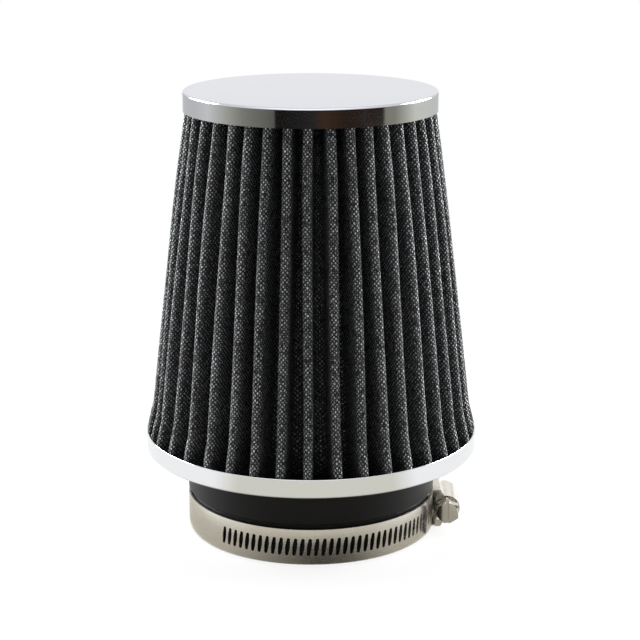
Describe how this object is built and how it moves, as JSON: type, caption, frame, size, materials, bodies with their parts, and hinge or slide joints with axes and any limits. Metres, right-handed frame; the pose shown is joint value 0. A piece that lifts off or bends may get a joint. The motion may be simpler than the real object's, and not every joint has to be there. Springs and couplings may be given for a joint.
{
  "type": "cold air intake filter",
  "caption": "Conical pleated air filter with a closed chromed end, a chromed base ring and a rubber neck that a worm-drive clamp holds on a pipe.",
  "frame": {"origin": "centre of the neck's open rim, on the plane that the filter stands on", "axes": "+Z along the axis towards the closed cap, +X towards the clamp's housing, +Y along the clamp screw away from its head"},
  "size_m": [0.1189, 0.1188, 0.1585],
  "materials": {
    "cap_chrome": "mirror",
    "seal_rubber": "matte",
    "pleat_mesh": "woven",
    "screen_metal": "satin",
    "ring_chrome": "mirror",
    "neck_rubber": "satin",
    "band_steel": "satin",
    "housing_steel": "satin",
    "screw_steel": "bright"
  },
  "bodies": {
    "filter": {"top_cap": "cap_chrome", "top_seal": "seal_rubber", "pleated_media": "pleat_mesh", "inner_screen": "screen_metal", "base_ring": "ring_chrome", "rubber_neck": "neck_rubber", "clamp_band": "band_steel", "clamp_housing": "housing_steel"},
    "clamp_screw": {"clamp_screw": "screw_steel"}
  },
  "joints": [
    {"name": "clamp_screw_turn", "type": "hinge", "parent": "filter", "child": "clamp_screw", "pos_m": [0.0492, 0, 0.00725], "axis": [0, 1, 0], "continuous": true}
  ]
}
